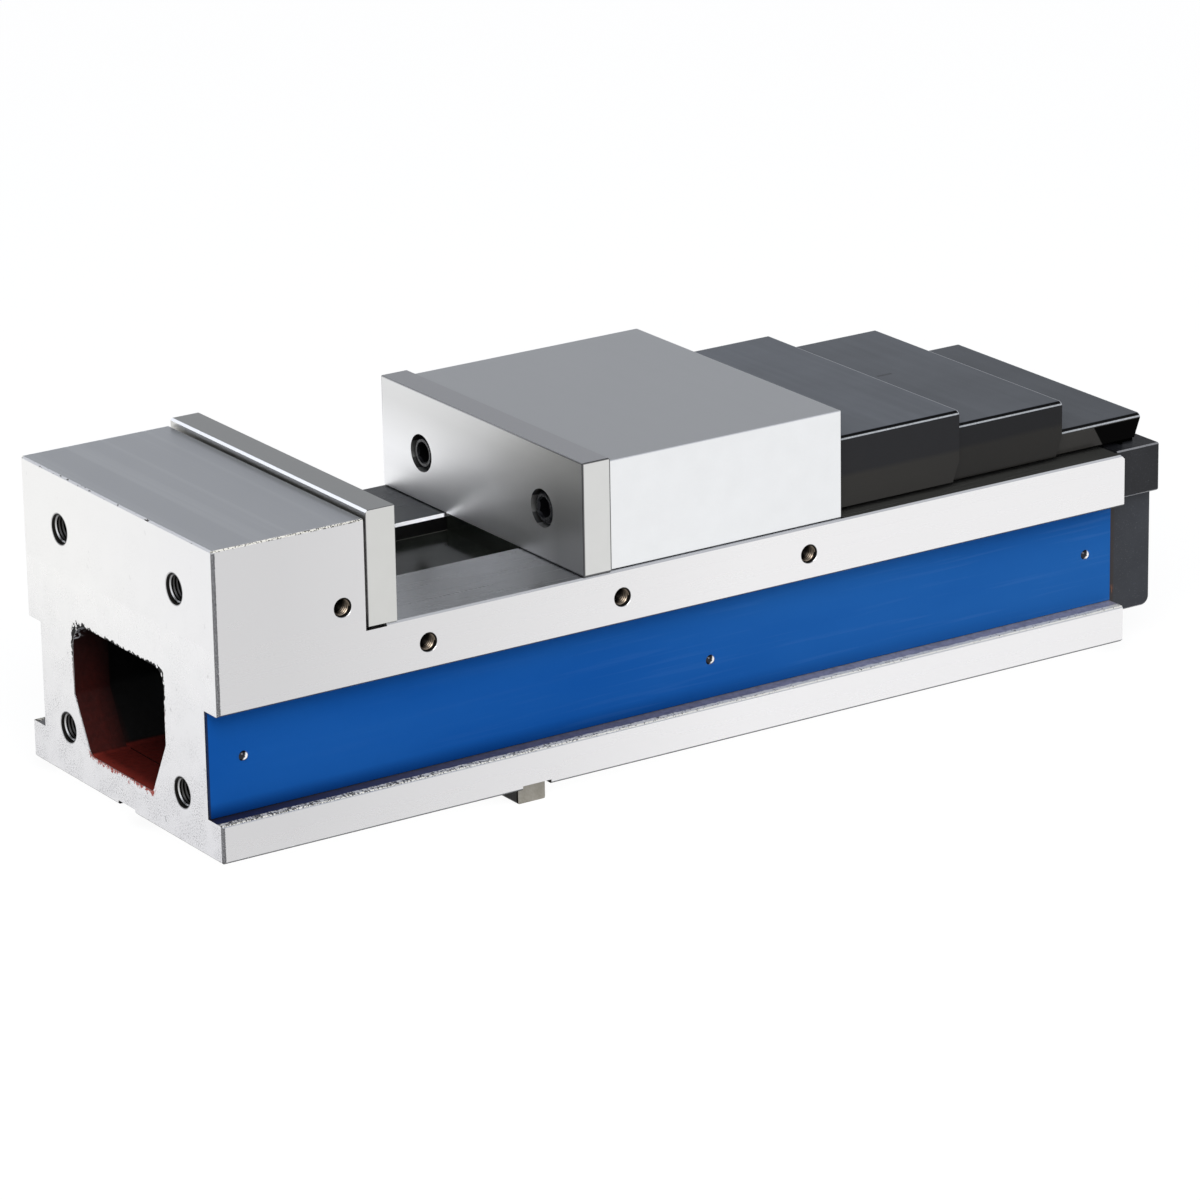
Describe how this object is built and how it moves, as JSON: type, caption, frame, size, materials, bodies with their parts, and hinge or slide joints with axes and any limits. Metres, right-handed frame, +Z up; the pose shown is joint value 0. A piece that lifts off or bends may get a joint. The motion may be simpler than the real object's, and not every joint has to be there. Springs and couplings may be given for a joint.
{
  "type": "precision vise",
  "caption": "Precision machine vise: ground cast base, hard jaw plates, an angle-lock movable jaw drawn by a spindle, and telescoping covers behind it.",
  "frame": {"origin": "under the middle of the vise, level with the underside of its guide keys", "axes": "+X from the fixed jaw to the drive end, +Y to the side without the plate, +Z up"},
  "size_m": [0.6498, 0.2, 0.1828],
  "materials": {
    "ground_iron": "ground, with cast skin in the recesses",
    "ground_steel": "finely ground, hardened",
    "blue_plate": "satin blue",
    "rivet_chrome": "bright",
    "key_steel": "ground, slightly dull",
    "black_screw": "black oxide",
    "bracket_grey": "dark grey, satin",
    "black_sheet": "black, gloss sides",
    "wiper_rubber": "matt",
    "bush_bronze": "turned",
    "turned_steel": "turned"
  },
  "bodies": {
    "base": {"base_casting": "ground_iron", "fixed_jaw_plate": "ground_steel", "fixed_jaw_screws": "black_screw", "side_plate": "blue_plate", "side_plate_rivets": "rivet_chrome", "guide_key_near": "key_steel", "guide_key_far": "key_steel", "guide_key_screws": "black_screw", "rear_bracket": "bracket_grey", "rear_bracket_screws": "black_screw", "rear_bracket_dowels": "turned_steel", "spindle_bush": "bush_bronze", "rear_cover": "black_sheet", "rear_cover_screws": "black_screw", "outer_thrust_washer": "turned_steel"},
    "spindle": {"spindle_screw": "turned_steel", "booster_housing": "turned_steel", "booster_springs": "turned_steel", "booster_piston": "turned_steel", "booster_cap": "turned_steel", "drive_shaft": "turned_steel", "thrust_collar": "turned_steel", "inner_thrust_washer": "turned_steel", "thrust_needles": "turned_steel", "thrust_cage": "bush_bronze", "rear_thrust_washer": "bush_bronze", "spindle_lock_nut": "black_screw"},
    "jaw": {"movable_jaw": "ground_steel", "movable_jaw_plate": "ground_steel", "movable_jaw_screws": "black_screw", "jaw_nut": "ground_iron", "angle_lock_segment": "turned_steel", "jaw_set_screw": "black_screw", "front_chip_guard": "black_sheet", "chip_guard_screws": "black_screw", "jaw_cover": "black_sheet", "jaw_cover_wiper": "wiper_rubber", "jaw_cover_screws": "black_screw"},
    "cover_carriage": {"middle_cover": "black_sheet", "middle_cover_wiper": "wiper_rubber"}
  },
  "joints": [
    {"name": "spindle_turn", "type": "hinge", "parent": "base", "child": "spindle", "pos_m": [0.25988, 0, 0.0648], "axis": [1, 0, 0], "range_deg": [-6900, 4482]},
    {"name": "jaw_slide", "type": "slide", "parent": "base", "child": "jaw", "axis": [1, 0, 0], "range_m": [-0.115, 0.0747]},
    {"name": "cover_slide", "type": "slide", "parent": "base", "child": "cover_carriage", "axis": [1, 0, 0], "range_m": [-0.07068, 0.04591]}
  ],
  "couplings": [
    {"joint": "jaw_slide", "follows": "spindle_turn", "m_per_rad": 0.00095493},
    {"joint": "cover_slide", "follows": "spindle_turn", "m_per_rad": 0.00058695}
  ]
}
